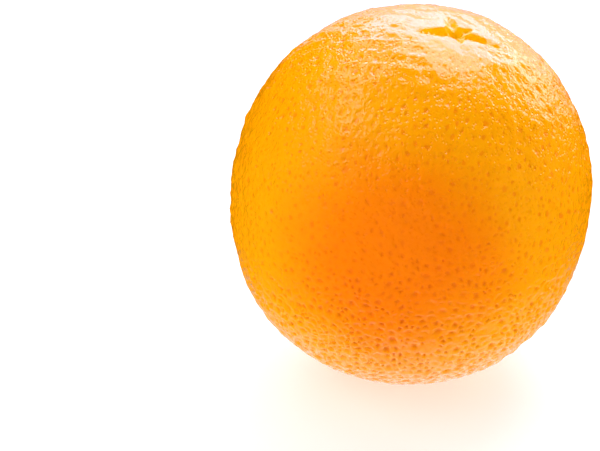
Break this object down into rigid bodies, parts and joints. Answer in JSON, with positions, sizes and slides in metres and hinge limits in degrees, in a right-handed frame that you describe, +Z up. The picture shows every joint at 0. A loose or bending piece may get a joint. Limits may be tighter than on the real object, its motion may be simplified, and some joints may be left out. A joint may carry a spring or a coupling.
{
  "type": "orange",
  "caption": "Whole fresh orange with pitted peel and a star-shaped dimple where the stem was, resting on a small flat spot.",
  "frame": {"origin": "middle of the underside of the fruit's bounding box, on the flat spot it rests on", "axes": "+Z up from the surface it rests on; the dimpled end is at the top and leans 13 degrees towards +X; -Y is the side the picture shows"},
  "size_m": [0.078, 0.0784, 0.0824],
  "materials": {
    "peel": "waxy orange peel, satin gloss over fine shallow pits"
  },
  "bodies": {
    "root": {"orange": "peel"}
  },
  "joints": []
}
